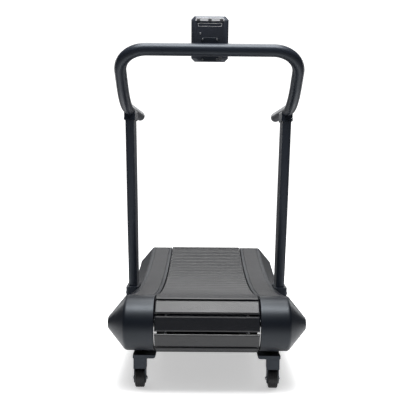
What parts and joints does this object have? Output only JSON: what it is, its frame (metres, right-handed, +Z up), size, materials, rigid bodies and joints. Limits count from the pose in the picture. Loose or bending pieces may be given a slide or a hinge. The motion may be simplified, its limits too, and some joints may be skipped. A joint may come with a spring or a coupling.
{
  "type": "curved manual treadmill",
  "caption": "Curved, motorless slat-belt treadmill with leaning uprights, a wrap-round handlebar, a small console, front transport wheels and rear levelling feet.",
  "frame": {"origin": "on the floor, under the middle of the machine's bounding box", "axes": "+Z up; +Y rearwards, the way the walking surface runs; +X to the runner's left, so the runner faces -Y and the console and wheels are at -Y"},
  "size_m": [0.836, 1.7828, 1.5536],
  "materials": {
    "frame_paint": "satin black powder coat",
    "cover_plastic": "fine-grained moulded plastic",
    "skirt_panel": "satin dark grey sheet",
    "tread_rubber": "moulded tread rubber",
    "belt_rubber": "smooth drive belt rubber",
    "grip_rubber": "ribbed foot-rail rubber",
    "wheel_rubber": "solid polyurethane",
    "bright_steel": "zinc-plated steel",
    "bearing_steel": "ground bearing steel",
    "pulley_alloy": "machined aluminium",
    "block_iron": "painted cast iron",
    "console_plastic": "fine-grained moulded plastic",
    "trim_plastic": "pale satin plastic",
    "button_rubber": "silicone key",
    "lens": "clear hard-coated window",
    "board": "solder-masked laminate",
    "cap_plastic": "black plastic"
  },
  "bodies": {
    "frame": {"side_rail_left": "frame_paint", "side_rail_right": "frame_paint", "frame_cross_tubes": "frame_paint", "track_rollers": "bearing_steel", "roller_bolts": "bright_steel", "bearing_blocks": "block_iron", "one_way_bearing": "bearing_steel", "tension_bolts": "bright_steel", "speed_sensor": "cap_plastic", "top_cover_left": "cover_plastic", "top_cover_right": "cover_plastic", "grip_strip_left": "grip_rubber", "grip_strip_right": "grip_rubber", "front_drum_cover_left": "cover_plastic", "front_drum_cover_right": "cover_plastic", "rear_drum_cover_left": "cover_plastic", "rear_drum_cover_right": "cover_plastic", "side_skirt_left": "skirt_panel", "side_skirt_right": "skirt_panel", "upright_left": "frame_paint", "upright_right": "frame_paint", "upright_sockets": "frame_paint", "socket_bolts": "bright_steel", "handle_clamps": "frame_paint", "clamp_bolts": "bright_steel", "handlebar": "frame_paint", "handle_end_caps": "cap_plastic", "console_housing": "console_plastic", "console_bezel": "console_plastic", "display_lens": "lens", "circuit_board": "board", "console_bracket": "frame_paint", "console_screws": "bright_steel", "console_top_trim": "trim_plastic", "console_grommet": "trim_plastic", "wheel_brackets": "frame_paint", "wheel_axles": "bright_steel", "rear_foot_brackets": "frame_paint", "foot_lock_nuts": "bright_steel", "rear_lift_bar": "frame_paint"},
    "belt_top_run": {"slats_top": "tread_rubber", "drive_belts_top": "belt_rubber"},
    "front_drum": {"front_shaft": "bearing_steel", "front_pulleys": "pulley_alloy", "slats_front": "tread_rubber", "drive_belts_front": "belt_rubber"},
    "rear_drum": {"rear_shaft": "bearing_steel", "rear_pulleys": "pulley_alloy", "slats_rear": "tread_rubber", "drive_belts_rear": "belt_rubber"},
    "belt_return_run": {"slats_bottom": "tread_rubber", "drive_belts_bottom": "belt_rubber"},
    "wheel_left": {"wheel_left": "wheel_rubber"},
    "wheel_right": {"wheel_right": "wheel_rubber"},
    "levelling_foot_left": {"levelling_foot_left": "wheel_rubber"},
    "levelling_foot_right": {"levelling_foot_right": "wheel_rubber"},
    "start_button": {"start_button": "button_rubber"},
    "stop_button": {"stop_button": "button_rubber"},
    "select_button": {"select_button": "button_rubber"},
    "reset_button": {"reset_button": "button_rubber"}
  },
  "joints": [
    {"name": "belt_travel", "type": "hinge", "parent": "frame", "child": "belt_top_run", "pos_m": [0, 0, 4.14659], "axis": [1, 0, 0], "range_deg": [-0.49048, 0.49048]},
    {"name": "front_drum_turn", "type": "hinge", "parent": "frame", "child": "front_drum", "pos_m": [0, -0.7695, 0.289], "axis": [1, 0, 0], "range_deg": [-18.01, 18.01]},
    {"name": "rear_drum_turn", "type": "hinge", "parent": "frame", "child": "rear_drum", "pos_m": [0, 0.7695, 0.289], "axis": [1, 0, 0], "range_deg": [-18.01, 18.01]},
    {"name": "belt_return_travel", "type": "hinge", "parent": "frame", "child": "belt_return_run", "pos_m": [0, 0, 4.14659], "axis": [1, 0, 0], "range_deg": [-0.4702, 0.4702]},
    {"name": "wheel_left_roll", "type": "hinge", "parent": "frame", "child": "wheel_left", "pos_m": [-0.285, -0.735, 0.04], "axis": [1, 0, 0], "continuous": true},
    {"name": "wheel_right_roll", "type": "hinge", "parent": "frame", "child": "wheel_right", "pos_m": [0.285, -0.735, 0.04], "axis": [1, 0, 0], "continuous": true},
    {"name": "levelling_foot_left_drop", "type": "slide", "parent": "frame", "child": "levelling_foot_left", "axis": [0, 0, -1], "range_m": [0, 0.012]},
    {"name": "levelling_foot_right_drop", "type": "slide", "parent": "frame", "child": "levelling_foot_right", "axis": [0, 0, -1], "range_m": [0, 0.012]},
    {"name": "start_button_press", "type": "slide", "parent": "frame", "child": "start_button", "axis": [0, -0.9659, -0.2588], "range_m": [0, 0.0015], "stiffness_N_per_m": 300},
    {"name": "stop_button_press", "type": "slide", "parent": "frame", "child": "stop_button", "axis": [0, -0.9659, -0.2588], "range_m": [0, 0.0015], "stiffness_N_per_m": 300},
    {"name": "select_button_press", "type": "slide", "parent": "frame", "child": "select_button", "axis": [0, -0.9659, -0.2588], "range_m": [0, 0.0015], "stiffness_N_per_m": 300},
    {"name": "reset_button_press", "type": "slide", "parent": "frame", "child": "reset_button", "axis": [0, -0.9659, -0.2588], "range_m": [0, 0.0015], "stiffness_N_per_m": 300}
  ],
  "couplings": [
    {"joint": "front_drum_turn", "follows": "belt_travel", "ratio": -36.699},
    {"joint": "rear_drum_turn", "follows": "belt_travel", "ratio": -36.699},
    {"joint": "belt_return_travel", "follows": "belt_travel", "ratio": -0.95833}
  ]
}
